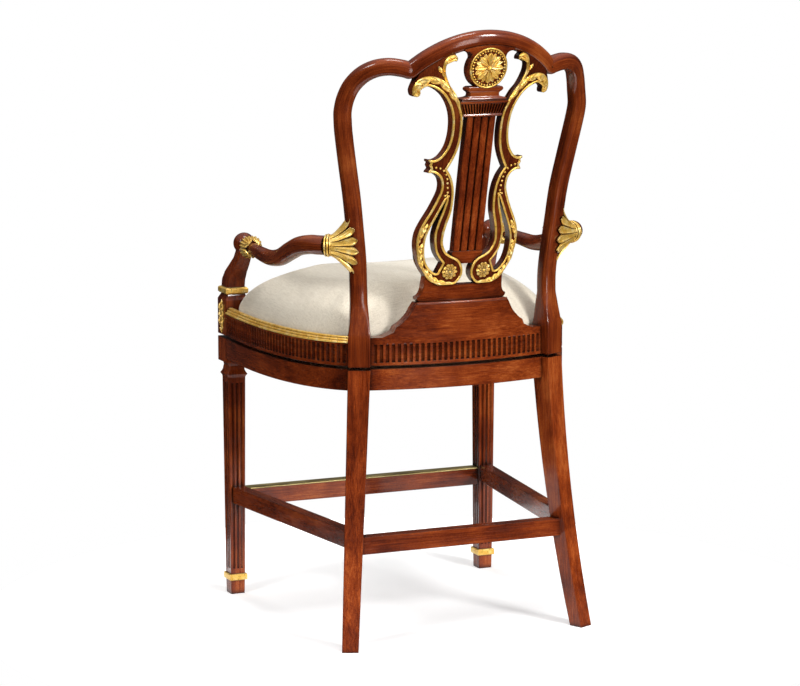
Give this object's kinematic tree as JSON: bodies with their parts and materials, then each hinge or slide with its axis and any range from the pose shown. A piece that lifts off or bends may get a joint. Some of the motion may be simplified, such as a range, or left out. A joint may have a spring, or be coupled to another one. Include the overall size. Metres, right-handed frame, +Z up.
{
  "type": "neoclassical counter chair",
  "caption": "Counter-height armchair with a carved lyre back, fluted rails, gilded trim and a linen cushion, swivelling on a legged base with a brass-topped footrest.",
  "frame": {"origin": "on the floor, below the middle of the chair's overall width and depth", "axes": "+X to the sitter's left, -Y to the front, +Z up"},
  "size_m": [0.6064, 0.6492, 1.15],
  "materials": {
    "mahogany": "dark red-brown mahogany, glossy lacquer, lightly distressed",
    "gilt": "carved wood with burnished gold leaf",
    "brass": "dull antique brass",
    "linen": "off-white plain-weave linen over padding",
    "steel": "plain rolled steel",
    "softwood": "bare secondary wood, out of sight"
  },
  "bodies": {
    "base": {"back_left_leg": "mahogany", "back_right_leg": "mahogany", "back_stretcher": "mahogany", "base_back_bearer": "softwood", "base_back_rail": "mahogany", "base_front_bearer": "softwood", "base_front_rail": "mahogany", "base_left_rail": "mahogany", "base_right_rail": "mahogany", "footrest_brass_strip": "brass", "front_left_foot_band": "gilt", "front_left_leg": "mahogany", "front_right_foot_band": "gilt", "front_right_leg": "mahogany", "front_stretcher": "mahogany", "left_stretcher": "mahogany", "right_stretcher": "mahogany", "swivel_ball_cage": "steel", "swivel_lower_plate": "steel", "swivel_pivot": "steel"},
    "seat": {"crest_rail": "mahogany", "left_arm": "mahogany", "left_arm_fan": "gilt", "left_arm_leaf_cup": "gilt", "left_arm_post": "mahogany", "left_lyre_scroll": "mahogany", "left_post_band": "gilt", "left_post_ornament": "gilt", "left_rosette": "gilt", "left_shoulder": "mahogany", "left_stile": "mahogany", "lyre_capital": "mahogany", "lyre_column": "mahogany", "lyre_medallion": "mahogany", "lyre_yoke": "mahogany", "medallion_patera": "gilt", "right_arm": "mahogany", "right_arm_fan": "gilt", "right_arm_leaf_cup": "gilt", "right_arm_post": "mahogany", "right_lyre_scroll": "mahogany", "right_post_band": "gilt", "right_post_ornament": "gilt", "right_rosette": "gilt", "right_shoulder": "mahogany", "right_stile": "mahogany", "seat_back_bearer": "softwood", "seat_back_rail": "mahogany", "seat_cushion": "linen", "seat_deck": "softwood", "seat_front_bearer": "softwood", "seat_front_moulding": "gilt", "seat_front_rail": "mahogany", "seat_left_moulding": "gilt", "seat_left_rail": "mahogany", "seat_right_moulding": "gilt", "seat_right_rail": "mahogany", "splat_plinth": "mahogany", "swivel_upper_plate": "steel"}
  },
  "joints": [
    {"name": "seat_swivel", "type": "hinge", "parent": "base", "child": "seat", "pos_m": [0, -0.0544, 0.522], "axis": [0, 0, 1], "continuous": true}
  ]
}
